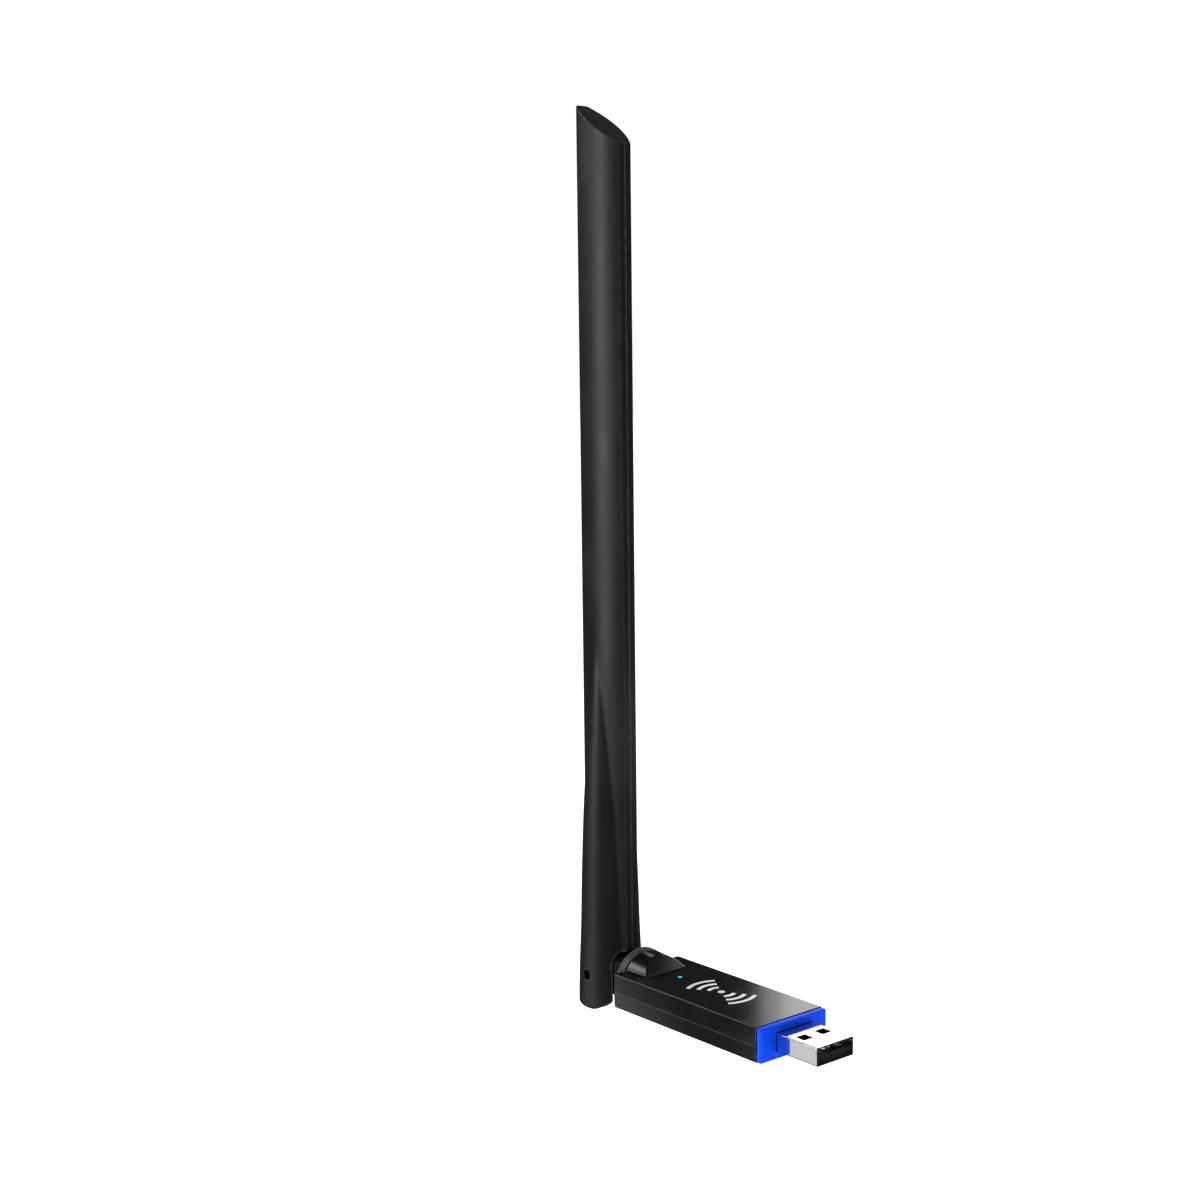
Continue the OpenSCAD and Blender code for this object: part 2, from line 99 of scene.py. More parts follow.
TOP_LOW, TOP_HIGH = corners("housing_top")
COLLAR_LOW, COLLAR_HIGH = corners("plug_collar")
PLUG_LOW, PLUG_HIGH = corners("usb_shell")
PIPE_LOW, PIPE_HIGH = corners("light_pipe")
RING_LOW, RING_HIGH = corners("swivel_ring")
KNUCKLE_LOW, KNUCKLE_HIGH = corners("swivel_knuckle")
PIN_LOW, PIN_HIGH = corners("hinge_pin")
COVER_LOW, COVER_HIGH = corners("antenna_front_cover")
STRIP_LOW, STRIP_HIGH = corners("antenna_board")
BODY_FRONT = TOP_HIGH.x
BODY_REAR = TOP_LOW.x
BODY_HALF_WIDTH = TOP_HIGH.y
BODY_TOP = PIPE_HIGH.z
PARTING = TOP_LOW.z
HUMP_RADIUS = TOP_HIGH.z
PIN_X = joint_place("antenna_fold").x
WALL = 1.2
# Room left round a part that is pushed into another, and room left round one that turns
FIT_GAP = 0.05
TURN_GAP = 0.4
# How far a cutting solid reaches past what it cuts
PAST = 1

# ---------- Mesh tools ----------

# What soften() takes as one point, and as one flat face
WELD_DISTANCE = 0.003
FLAT_ANGLE = math.radians(0.3)


def solid(name, bm):
    """Closes a bmesh in millimetres into a new object"""
    bmesh.ops.recalc_face_normals(bm, faces=bm.faces)
    mesh = bpy.data.meshes.new(name)
    bm.to_mesh(mesh)
    bm.free()
    obj = bpy.data.objects.new(name, mesh)
    scene.collection.objects.link(obj)
    return obj


def skin(name, rings, around=False):
    """Joins rings of equal length with faces. The ends are capped, or the last ring meets the first."""
    bm = bmesh.new()
    rows = [[bm.verts.new(point) for point in ring] for ring in rings]
    pairs = list(zip(rows, rows[1:]))
    if around:
        pairs.append((rows[-1], rows[0]))
    for low, high in pairs:
        for i in range(len(low)):
            j = (i + 1) % len(low)
            bm.faces.new((low[i], low[j], high[j], high[i]))
    if not around:
        bm.faces.new(rows[0][::-1])
        bm.faces.new(rows[-1])
    return solid(name, bm)


def on_axis(axis, along, across, up):
    """A point from its place along an axis and across it"""
    if axis == "x":
        return (along, across, up)
    if axis == "y":
        return (up, along, across)
    return (across, up, along)


def prism(name, outline, axis, start, end):
    """Extrudes a flat outline along an axis"""
    return skin(name, [[on_axis(axis, at, u, v) for u, v in outline] for at in (start, end)])


def revolve(name, profile, axis="x", centre=(0, 0), steps=96):
    """Turns a profile of (place along the axis, radius) about the axis"""
    rings = []
    for along, radius in profile:
        ring = []
        for k in range(steps):
            angle = 2 * math.pi * k / steps
            u = centre[0] + radius * math.cos(angle)
            v = centre[1] + radius * math.sin(angle)
            ring.append(on_axis(axis, along, u, v))
        rings.append(ring)
    return skin(name, rings)


def rod(name, start, end, radius, steps=96):
    """A cylinder on the housing's long axis"""
    return revolve(name, [(start, radius), (end, radius)], steps=steps)


def pin_rod(name, start, end, radius, steps=48):
    """A cylinder on the hinge pin's axis"""
    return revolve(name, [(start, radius), (end, radius)], "y", (0, PIN_X), steps=steps)


def upright_rod(name, x, start, end, radius):
    """A thin cylinder that stands upright"""
    return revolve(name, [(start, radius), (end, radius)], "z", (x, 0), steps=32)


def box(name, low, high):
    return prism(name, [(low[1], low[2]), (high[1], low[2]), (high[1], high[2]), (low[1], high[2])],
                 "x", low[0], high[0])


def arc(centre, radius, start, end, steps=6):
    """Points of an arc, with its angles in degrees"""
    points = []
    for k in range(steps + 1):
        angle = math.radians(start + (end - start) * k / steps)
        points.append((centre[0] + radius * math.cos(angle), centre[1] + radius * math.sin(angle)))
    return points


def round_rectangle(half_u, half_v, radius, steps=6):
    points = []
    for quarter, (su, sv) in enumerate(((1, 1), (-1, 1), (-1, -1), (1, -1))):
        centre = (su * (half_u - radius), sv * (half_v - radius))
        points += arc(centre, radius, 90 * quarter, 90 * quarter + 90, steps)
    return points


def freeze(obj):
    """Applies an object's modifiers to its mesh"""
    graph = bpy.context.evaluated_depsgraph_get()
    mesh = bpy.data.meshes.new_from_object(obj.evaluated_get(graph))
    obj.modifiers.clear()
    obj.data = mesh
    return obj


def combine(target, tool, operation):
    """Joins, cuts or intersects two solids, and throws the tool away"""
    modifier = target.modifiers.new("combine", "BOOLEAN")
    modifier.operation = operation
    modifier.solver = "EXACT"
    modifier.object = tool
    freeze(target)
    bpy.data.objects.remove(tool)
    return target


def everywhere(middle):
    """The same rounding on every edge"""
    return 1


def soften(obj, width, share=everywhere, segments=3, sharp=28):
    """Rounds the sharp edges to a width times the share that each edge's middle is given"""
    bm = bmesh.new()
    bm.from_mesh(obj.data)
    bmesh.ops.remove_doubles(bm, verts=bm.verts, dist=WELD_DISTANCE)
    bmesh.ops.dissolve_limit(bm, angle_limit=FLAT_ANGLE, verts=bm.verts, edges=bm.edges)
    weights = bm.edges.layers.float.new("bevel_weight_edge")
    for edge in bm.edges:
        if len(edge.link_faces) == 2 and edge.calc_face_angle() > math.radians(sharp):
            edge[weights] = share((edge.verts[0].co + edge.verts[1].co) / 2)
    bm.to_mesh(obj.data)
    bm.free()
    modifier = obj.modifiers.new("soften", "BEVEL")
    modifier.limit_method = "WEIGHT"
    modifier.width = width
    modifier.segments = segments
    modifier.use_clamp_overlap = False
    return freeze(obj)


def shade(obj, sharp=32):
    """Smooth shading that breaks at sharp edges and leans to the larger faces"""
    bm = bmesh.new()
    bm.from_mesh(obj.data)
    for face in bm.faces:
        face.smooth = True
    for edge in bm.edges:
        edge.smooth = len(edge.link_faces) == 2 and edge.calc_face_angle() < math.radians(sharp)
    bm.to_mesh(obj.data)
    bm.free()
    modifier = obj.modifiers.new("shade", "WEIGHTED_NORMAL")
    modifier.keep_sharp = True
    return freeze(obj)


def piece(obj, body, slot, nodes=(), sharp=32):
    """Finishes a piece: its size in metres, its shading, body, material and what it replaces"""
    shade(obj, sharp)
    obj.data.transform(Matrix.Scale(MM, 4))
    obj.data.materials.clear()
    obj.data.materials.append(MATERIALS[slot])
    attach(obj, body)
    if nodes:
        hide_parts(*nodes)
    return obj


# ---------- Materials ----------

# How far the lightening of an edge reaches, which is part rubbed plastic and part painted highlight
EDGE_WEAR_AND_SHEEN_RADIUS = 0.45
# The share of the edge lightening, rubbed plastic and painted highlight alike, that is left at a seam, and
# the distances between which it grows back to all of it
SEAM_WEAR_AND_SHEEN = 0.35
SEAM_BAND = (0.5, 0.9)


class Finish:
    """A node material round one Principled shader"""

    def __init__(self, name):
        self.name = name
        self.material = bpy.data.materials.new("finish_" + name)
        self.material.use_nodes = True
        self.tree = self.material.node_tree
        self.shader = self.tree.nodes["Principled BSDF"]
        self.place = self.node("ShaderNodeTexCoord").outputs["Object"]

    def node(self, kind, **values):
        made = self.tree.nodes.new(kind)
        for key, value in values.items():
            setattr(made, key, value)
        return made

    def put(self, socket, value):
        """Links another node's output to a socket, or sets the socket's own value"""
        if isinstance(value, bpy.types.NodeSocket):
            self.tree.links.new(value, socket)
        else:
            socket.default_value = value

    def set(self, **values):
        """Fills the shader's inputs, which are named with _ for a space"""
        for key, value in values.items():
            self.put(self.shader.inputs[key.replace("_", " ")], value)

    def stretched(self, scale):
        """The place, scaled along each axis so that a pattern is drawn out along one of them"""
        mapping = self.node("ShaderNodeMapping")
        self.put(mapping.inputs["Vector"], self.place)
        mapping.inputs["Scale"].default_value = scale
        return mapping.outputs["Vector"]

    def noise(self, size, detail=3, place=None):
        """Noise whose features are about as large as size, in millimetres"""
        made = self.node("ShaderNodeTexNoise")
        self.put(made.inputs["Vector"], place or self.place)
        made.inputs["Scale"].default_value = 1 / (size * MM)
        made.inputs["Detail"].default_value = detail
        return made.outputs["Fac"]

    def cells(self, size):
        """Distance from the middles of round cells about as large as size, in millimetres"""
        made = self.node("ShaderNodeTexVoronoi")
        self.put(made.inputs["Vector"], self.place)
        made.inputs["Scale"].default_value = 1 / (size * MM)
        return made.outputs["Distance"]

    def spread(self, value, low, high, start=0.3, end=0.7):
        """Maps a pattern's range from start to end onto low to high"""
        made = self.node("ShaderNodeMapRange")
        self.put(made.inputs["Value"], value)
        for key, number in (("From Min", start), ("From Max", end), ("To Min", low), ("To Max", high)):
            made.inputs[key].default_value = number
        return made.outputs["Result"]

    def mix(self, share, first, second):
        made = self.node("ShaderNodeMix", data_type="RGBA")
        self.put(made.inputs[0], share)
        self.put(made.inputs[6], first)
        self.put(made.inputs[7], second)
        return made.outputs[2]

    def maths(self, operation, first, second):
        made = self.node("ShaderNodeMath", operation=operation)
        self.put(made.inputs[0], first)
        self.put(made.inputs[1], second)
        return made.outputs[0]

    def bump(self, height, depth):
        """Bumps as deep as depth, in millimetres"""
        made = self.node("ShaderNodeBump")
        made.inputs["Distance"].default_value = depth * MM
        self.put(made.inputs["Height"], height)
        return made.outputs["Normal"]

    # The mask below lightens edges in surface(): partly rubbed plastic, partly a painted highlight on edges
    # and ridges.
    def worn_and_lit_edges(self):
        """1 on sharp edges and 0 on flat faces"""
        rounded = self.node("ShaderNodeBevel", samples=4)
        rounded.inputs["Radius"].default_value = EDGE_WEAR_AND_SHEEN_RADIUS * MM
        geometry = self.node("ShaderNodeNewGeometry")
        product = self.node("ShaderNodeVectorMath", operation="DOT_PRODUCT")
        self.put(product.inputs[0], rounded.outputs["Normal"])
        self.put(product.inputs[1], geometry.outputs["Normal"])
        return self.spread(product.outputs["Value"], 1, 0, 0.8, 0.99)

    def clear_of(self, height):
        """1 well away from a height in millimetres, and lower within SEAM_BAND of it"""
        split = self.node("ShaderNodeSeparateXYZ")
        self.put(split.inputs["Vector"], self.place)
        away = self.maths("SUBTRACT", split.outputs["Z"], height * MM)
        start, end = [(reach * MM) ** 2 for reach in SEAM_BAND]
        return self.spread(self.maths("MULTIPLY", away, away), SEAM_WEAR_AND_SHEEN, 1, start, end)


def grey(value):
    return (value, value, value, 1)


def tinted(colour, factor):
    """A colour made darker or lighter by a factor"""
    return tuple(min(1, c * factor) for c in colour[:3]) + (1,)


def surface(name, colour, roughness, metallic=0, specular=0.5, grain=0.3, depth=0.006, mottle=8,
            variation=0.12, rough_variation=0.06, wear_and_sheen=0.3, worn_and_lit_factor=1.6, seam=None, place_scale=None):
    """A finish with a fine grain, a slow mottle and lighter edges, partly rubbed plastic and partly a painted
    highlight, less so at the seam's height
    """
    finish = Finish(name)
    place = finish.stretched(place_scale) if place_scale else finish.place
    fine = finish.noise(grain, 2, place)
    slow = finish.noise(mottle, 4)
    tint = finish.mix(finish.spread(slow, 0, 1), tinted(colour, 1 - variation), tinted(colour, 1 + variation))
    # Sharp edges are lightened: a painted highlight that also stands for rubbed plastic.
    if wear_and_sheen:
        share = finish.maths("MULTIPLY", finish.worn_and_lit_edges(), wear_and_sheen)
        share = finish.maths("MULTIPLY", share, finish.spread(finish.noise(1.5), 0.2, 1))
        if seam is not None:
            share = finish.maths("MULTIPLY", share, finish.clear_of(seam))
        tint = finish.mix(share, tint, tinted(tuple(c + 0.02 for c in colour[:3]), worn_and_lit_factor))
    gloss = finish.maths("ADD", finish.spread(slow, roughness - rough_variation, roughness + rough_variation),
                         finish.spread(fine, -rough_variation / 2, rough_variation / 2))
    finish.set(Base_Color=tint, Roughness=gloss, Metallic=metallic, Specular_IOR_Level=specular,
               Normal=finish.bump(fine, depth))
    return finish


def glowing_lens(name, colour, strength):
    """Clear plastic, lit from behind by the indicator, with a glow that varies a little from place to place
    """
    finish = surface(name, colour, 0.25, grain=0.5, depth=0.002, wear_and_sheen=0)
    glow = finish.mix(finish.spread(finish.noise(0.6), 0, 1), tinted(colour, 0.85), tinted(colour, 1.15))
    finish.set(Emission_Color=glow, Emission_Strength=strength)
    return finish


def circuit_resist(name, colour, track):
    """Solder resist with the copper tracks showing through as lighter lines"""
    finish = surface(name, colour, 0.35, grain=0.15, depth=0.003, wear_and_sheen=0)
    lines = finish.node("ShaderNodeTexBrick")
    finish.put(lines.inputs["Vector"], finish.place)
    lines.inputs["Scale"].default_value = 1 / (3 * MM)
    lines.inputs["Mortar Size"].default_value = 0.06
    tracks = finish.spread(lines.outputs["Fac"], 0, 1, 0.1, 0.6)
    finish.set(Base_Color=finish.mix(tracks, finish.shader.inputs["Base Color"].links[0].from_socket, track))
    finish.set(Normal=finish.bump(tracks, 0.03))
    return finish


def foam(name, colour):
    """Open foam with round cells"""
    finish = surface(name, colour, 0.95, specular=0.1, grain=0.4, depth=0.03, wear_and_sheen=0)
    pores = finish.cells(0.5)
    # The cells' middles, which the bump below sinks into pits, are painted darker as shade in the pores.
    finish.set(Base_Color=finish.mix(finish.spread(pores, 0, 1, 0.1, 0.6), tinted(colour, 0.5), colour))
    finish.set(Normal=finish.bump(pores, 0.12))
    return finish


BLACK = (0.0085, 0.0088, 0.0095, 1)
BLUE = (0.002, 0.07, 0.9, 1)
STEEL = (0.72, 0.73, 0.75, 1)

FINISHES = [
    # The housing's edges are lightened eightfold, mostly as a painted highlight along its top edges, and less
    # at the parting line.
    surface("housing_black", tinted(BLACK, 0.6), 0.19, grain=0.22, depth=0.001, mottle=10,
            rough_variation=0.02, wear_and_sheen=1, worn_and_lit_factor=8, seam=PARTING),
    # The antenna's edges and ridges are lightened fourfold as a painted ridge highlight.
    surface("antenna_black", BLACK, 0.42, grain=0.25, depth=0.005, mottle=14, wear_and_sheen=1, worn_and_lit_factor=4),
    # The hinge's black is half as light as BLACK: painted shade for the dark gap between the antenna and the
    # ring.
    surface("hinge_black", tinted(BLACK, 0.5), 0.45, specular=0.2, grain=0.2, depth=0.003),
    # The collar's bevelled edges are lightened twice over as a painted highlight.
    surface("collar_blue", BLUE, 0.4, specular=0.09, grain=0.25, depth=0.005, wear_and_sheen=1, worn_and_lit_factor=2, variation=0.05),
    glowing_lens("indicator_clear", (0.02, 0.42, 0.85, 1), 1.6),
    surface("plug_steel", STEEL, 0.1, metallic=1, grain=0.12, depth=0.0006, variation=0.03,
            rough_variation=0.02, wear_and_sheen=0.1, place_scale=(0.05, 1, 1)),
    surface("insulator_black", (0.012, 0.012, 0.013, 1), 0.5, depth=0.004),
    surface("contact_gold", (0.55, 0.38, 0.15, 1), 0.3, metallic=1, depth=0.002, variation=0.06),
    circuit_resist("board_green", (0.01, 0.1, 0.045, 1), (0.03, 0.22, 0.09, 1)),
    surface("chip_black", (0.014, 0.014, 0.016, 1), 0.55, grain=0.1, depth=0.006),
    surface("component_steel", (0.62, 0.63, 0.66, 1), 0.3, metallic=1, depth=0.002, variation=0.05),
    surface("inductor_grey", (0.04, 0.04, 0.045, 1), 0.7, grain=0.15, depth=0.01),
    surface("passive_tan", (0.4, 0.24, 0.11, 1), 0.5, grain=0.1, depth=0.003),
    surface("led_white", (0.82, 0.83, 0.81, 1), 0.35, grain=0.2, depth=0.002, wear_and_sheen=0),
    surface("lead_jacket", (0.035, 0.036, 0.04, 1), 0.5, grain=0.25, depth=0.006, wear_and_sheen=0),
    surface("solder", (0.55, 0.56, 0.58, 1), 0.3, metallic=1, grain=0.5, depth=0.02, wear_and_sheen=0),
    surface("ring_grey", (0.06, 0.062, 0.066, 1), 0.38, grain=0.12, depth=0.012, wear_and_sheen=0.5),
    surface("rubber_black", (0.006, 0.006, 0.006, 1), 0.75, grain=0.15, depth=0.01, wear_and_sheen=0),
    surface("pin_steel", (0.16, 0.16, 0.165, 1), 0.35, metallic=1, depth=0.003, place_scale=(1, 0.05, 1)),
    surface("washer_nylon", (0.68, 0.68, 0.62, 1), 0.5, grain=0.3, depth=0.003, wear_and_sheen=0),
    surface("antenna_board_tan", (0.45, 0.3, 0.11, 1), 0.5, grain=0.3, depth=0.01, wear_and_sheen=0),
    surface("copper", (0.65, 0.27, 0.12, 1), 0.32, metallic=1, grain=0.3, depth=0.003, variation=0.1),
    foam("foam_grey", (0.07, 0.07, 0.075, 1)),
]
MATERIALS = {finish.name: finish.material for finish in FINISHES}


def finish_nodes():
    """Gives every CAD node the finish of its slot"""
    for node in frame["nodes"].values():
        for holder in node.material_slots:
            slot = holder.material.name.split(".")[0]
            holder.link = "OBJECT"
            holder.material = MATERIALS[slot]


finish_nodes()

# ---------- Housing ----------

# The sides lean in by this much from the parting line to the flat faces
SIDE_DRAFT = 0.15
CORNER = 0.4
EDGE_ROUND = 0.32
SEAM_ROUND = 0.09
CAVITY_HALF_WIDTH = BODY_HALF_WIDTH - WALL - SIDE_DRAFT
CAVITY_HALF_HEIGHT = BODY_TOP - WALL
CAVITY_REAR = BODY_REAR + 2
HUMP_NOSE = BODY_REAR + 7.7
HUMP_CUT_RUN = 3.6
HUMP_TAPER = 0.35
# Room for the retaining clip in front of the rear wall, and a recess for the rubber ring behind it
SWIVEL_ROOM_RADIUS = 6.4
SWIVEL_ROOM_LENGTH = 1.7
SEAL_RADIUS = 6.1
SEAL_DEPTH = 0.8
SHAFT_RADIUS = 4.55
PIPE_X = (PIPE_LOW.x + PIPE_HIGH.x) / 2
PIPE_RADIUS = 0.5
PIPE_FLANGE_RADIUS = 1.2
PIPE_DOME_RISE = 0.12


def body_plan(half_width):
    """The housing's outline from above, with round rear corners"""
    inner = half_width - CORNER
    rear = BODY_REAR + CORNER
    return ([(BODY_FRONT, -half_width), (BODY_FRONT, half_width)]
            + arc((rear, inner), CORNER, 90, 180) + arc((rear, -inner), CORNER, 180, 270))


def hump(side):
    """The round fairing over the swivel, cut by a slanted face"""
    fairing = revolve("fairing", [(BODY_REAR, HUMP_RADIUS), (HUMP_NOSE, HUMP_RADIUS - HUMP_TAPER)], steps=180)
    top = HUMP_RADIUS + PAST
    crest = HUMP_NOSE - HUMP_CUT_RUN * (top - BODY_TOP) / (HUMP_RADIUS - BODY_TOP)
    outline = [(BODY_REAR - PAST, PARTING), (HUMP_NOSE, PARTING), (HUMP_NOSE, side * BODY_TOP),
               (crest, side * top), (BODY_REAR - PAST, side * top)]
    wedge = skin("wedge", [[(x, y, z) for x, z in outline] for y in (-top, top)])
    return combine(fairing, wedge, "INTERSECT")


def shell(name, side):
    """The housing's top (side 1) or bottom (side -1): a drafted block with the fairing, hollow inside"""
    plans = [(PARTING, BODY_HALF_WIDTH), (side * BODY_TOP, BODY_HALF_WIDTH - SIDE_DRAFT)]
    half = skin(name, [[(x, y, z) for x, y in body_plan(w)] for z, w in plans])
    combine(half, hump(side), "UNION")
    room = box("room", (CAVITY_REAR, -CAVITY_HALF_WIDTH, -CAVITY_HALF_HEIGHT),
               (BODY_FRONT + PAST, CAVITY_HALF_WIDTH, CAVITY_HALF_HEIGHT))
    combine(half, room, "DIFFERENCE")
    holes = [(CAVITY_REAR - PAST / 10, CAVITY_REAR + SWIVEL_ROOM_LENGTH, SWIVEL_ROOM_RADIUS),
             (BODY_REAR - PAST, CAVITY_REAR + PAST, SHAFT_RADIUS + FIT_GAP),
             (BODY_REAR - PAST, BODY_REAR + SEAL_DEPTH, SEAL_RADIUS)]
    for start, end, radius in holes:
        combine(half, rod("rod", start, end, radius), "DIFFERENCE")
    return half


def shell_round(middle):
    """An edge's share of the outer rounding: little at the seam and the holes, none in the cavity"""
    touching = 0.02
    near = 0.1
    small = 0.2
    if abs(middle.z - PARTING) < touching or middle.x > BODY_FRONT - touching:
        return SEAM_ROUND / EDGE_ROUND
    if math.hypot(middle.x - PIPE_X, middle.y) < 2 * PIPE_RADIUS:
        return small
    if math.hypot(middle.y, middle.z) < SWIVEL_ROOM_RADIUS + near:
        return small
    inside = abs(middle.y) < CAVITY_HALF_WIDTH + near and abs(middle.z) < CAVITY_HALF_HEIGHT + near
    if inside and middle.x > CAVITY_REAR - 2 * near:
        return 0
    return 1


def make_housing():
    top = shell("top_shell", 1)
    combine(top, upright_rod("hole", PIPE_X, 0, BODY_TOP + PAST, PIPE_RADIUS + FIT_GAP), "DIFFERENCE")
    soften(top, EDGE_ROUND, shell_round)
    piece(top, "housing", "housing_black", ["housing_top"])
    bottom = shell("bottom_shell", -1)
    soften(bottom, EDGE_ROUND, shell_round)
    piece(bottom, "housing", "housing_black", ["housing_bottom"])


def make_light_pipe():
    """A round pipe with a flange inside the housing and a low dome that shows"""
    flange_top = CAVITY_HALF_HEIGHT - FIT_GAP
    flange_bottom = flange_top - WALL / 2
    profile = [(PIPE_LOW.z, PIPE_RADIUS), (flange_bottom, PIPE_RADIUS), (flange_bottom, PIPE_FLANGE_RADIUS),
               (flange_top, PIPE_FLANGE_RADIUS), (flange_top, PIPE_RADIUS)]
    for degrees in range(90, 0, -15):
        a = math.radians(degrees)
        profile.append((BODY_TOP - PIPE_DOME_RISE * (1 - math.cos(a)), PIPE_RADIUS * math.sin(a)))
    pipe = revolve("light_pipe_lens", profile, "z", (PIPE_X, 0), steps=32)
    piece(pipe, "housing", "indicator_clear", ["light_pipe"])


make_housing()
make_light_pipe()

# ---------- Collar and plug ----------

COLLAR_BEVEL = 0.4
COLLAR_GROOVE = 0.3
COLLAR_ROUND = 0.08
# The collar's opening: how far its front part goes back, and its gap round the plug
RECESS_DEPTH = 0.4
RECESS_GAP = 0.2
PLUG_HALF_WIDTH = PLUG_HIGH.y
PLUG_HALF_HEIGHT = PLUG_HIGH.z
PLUG_SHEET = 0.3
PLUG_CORNER = 0.38
PLUG_LIP = 0.07
SEAM_HALF_WIDTH = 0.06
SEAM_DEPTH = 0.1
WINDOW_SIZE = (2.9, 3.1)
WINDOW_CORNER = 0.15
WINDOW_SETBACK = 5.4
WINDOW_X = PLUG_HIGH.x - WINDOW_SETBACK - WINDOW_SIZE[0] / 2
WINDOW_Y = 3.05


def make_collar():
    """A block with a bevelled rim in front, a spigot inside the housing and a recess round the plug"""
    groove_end = BODY_FRONT + COLLAR_GROOVE
    sections = [(BODY_FRONT, COLLAR_GROOVE), (groove_end, COLLAR_GROOVE), (groove_end, 0),
                (-COLLAR_BEVEL, 0), (0, COLLAR_BEVEL)]
    rings = []
    for x, inset in sections:
        outline = round_rectangle(COLLAR_HIGH.y - inset, COLLAR_HIGH.z - inset, COLLAR_BEVEL)
        rings.append([(x, u, v) for u, v in outline])
    collar = skin("collar_block", rings)
    spigot_half = (CAVITY_HALF_WIDTH - FIT_GAP, CAVITY_HALF_HEIGHT - FIT_GAP)
    spigot = box("spigot", (COLLAR_LOW.x, -spigot_half[0], -spigot_half[1]),
                 (BODY_FRONT + COLLAR_BEVEL, spigot_half[0], spigot_half[1]))
    combine(collar, spigot, "UNION")
    for start, gap in ((COLLAR_LOW.x - PAST, FIT_GAP), (-RECESS_DEPTH, RECESS_GAP)):
        mouth = round_rectangle(PLUG_HALF_WIDTH + gap, PLUG_HALF_HEIGHT + gap, PLUG_CORNER + gap)
        combine(collar, prism("mouth", mouth, "x", start, PAST), "DIFFERENCE")
    soften(collar, COLLAR_ROUND, segments=2)
    piece(collar, "housing", "collar_blue", ["plug_collar"])


def make_plug_shell():
    """A folded steel tube with two windows above and two below, and a seam underneath"""
    lip_start = PLUG_HIGH.x - PLUG_LIP
    sections = [(PLUG_LOW.x, 0), (lip_start, 0), (PLUG_HIGH.x, PLUG_LIP),
                (PLUG_HIGH.x, PLUG_SHEET - PLUG_LIP), (lip_start, PLUG_SHEET), (PLUG_LOW.x, PLUG_SHEET)]
    rings = []
    for x, inset in sections:
        outline = round_rectangle(PLUG_HALF_WIDTH - inset, PLUG_HALF_HEIGHT - inset, PLUG_CORNER - inset)
        rings.append([(x, u, v) for u, v in outline])
    tube = skin("plug_shell", rings, around=True)
    reach = PLUG_HALF_HEIGHT + PAST
    outline = round_rectangle(WINDOW_SIZE[0] / 2, WINDOW_SIZE[1] / 2, WINDOW_CORNER, 3)
    for side in (-1, 1):
        window = [(WINDOW_X + u, side * WINDOW_Y + v) for u, v in outline]
        combine(tube, prism("window", window, "z", -reach, reach), "DIFFERENCE")
    seam = box("seam", (PLUG_LOW.x - PAST, -SEAM_HALF_WIDTH, -reach),
               (PLUG_HIGH.x + PAST, SEAM_HALF_WIDTH, SEAM_DEPTH - PLUG_HALF_HEIGHT))
    combine(tube, seam, "DIFFERENCE")
    piece(tube, "housing", "plug_steel", ["usb_shell"], sharp=40)


make_collar()
make_plug_shell()

# ---------- Swivel ----------

NECK_RADIUS = 6.1
NECK_HALF_HEIGHT = 5.7
KNUCKLE_RADIUS = KNUCKLE_HIGH.z
KNUCKLE_HALF_WIDTH = KNUCKLE_HIGH.y
KNUCKLE_ROUND = 0.2
PIN_RADIUS = (PIN_HIGH.x - PIN_LOW.x) / 2
COAX_RADIUS = 0.57
SHAFT_BORE = 1.5
RING_TEETH = 64
TOOTH_DEPTH = 0.4
RING_CHAMFER = 0.25
RING_LIP_WIDTH = 0.75
RING_LIP_RADIUS = RING_HIGH.z - 0.1


def make_ring():
    """A ring with teeth cut straight across its rim, and a smooth lip next to the housing"""
    bore = SHAFT_RADIUS + FIT_GAP
    rear = RING_LOW.x
    front = RING_HIGH.x
    # Place along the axis, radius, and 1 where the teeth are cut
    profile = [
        (rear, bore, 0),
        (rear, RING_HIGH.z - RING_CHAMFER, 0),
        (rear + RING_CHAMFER, RING_HIGH.z, 1),
        (front - RING_LIP_WIDTH, RING_HIGH.z, 1),
        (front - RING_LIP_WIDTH, RING_LIP_RADIUS, 0),
        (front - RING_CHAMFER, RING_LIP_RADIUS, 0),
        (front, RING_LIP_RADIUS - RING_CHAMFER, 0),
        (front, bore, 0),
    ]
    steps = 4 * RING_TEETH
    rings = []
    for x, radius, toothed in profile:
        ring = []
        for k in range(steps):
            angle = 2 * math.pi * k / steps
            cut = TOOTH_DEPTH * toothed * (k % 4 > 1)
            ring.append((x, (radius - cut) * math.cos(angle), (radius - cut) * math.sin(angle)))
        rings.append(ring)
    piece(skin("toothed_ring", rings, around=True), "swivel", "ring_grey", ["swivel_ring"])


def coax_channel():
    """Room for the lead: out of the shaft's bore, then a slot over the pin from upright to straight back"""
    half = COAX_RADIUS + 0.25
    bore_end = RING_LOW.x - PIN_X - 1.5
    top = KNUCKLE_RADIUS + PAST
    slot_half = 0.9
    ramp = 5
    outline = [(bore_end, -SHAFT_BORE), (bore_end, SHAFT_BORE), (ramp, 3.9),
               (slot_half, top), (-top, top), (-top, -slot_half)]
    outline += arc((0, 0), PIN_RADIUS + 1, 200, 90, 12)
    outline.append((ramp, 1.5))
    return skin("channel", [[(PIN_X + x, y, z) for x, z in outline] for y in (-half, half)])


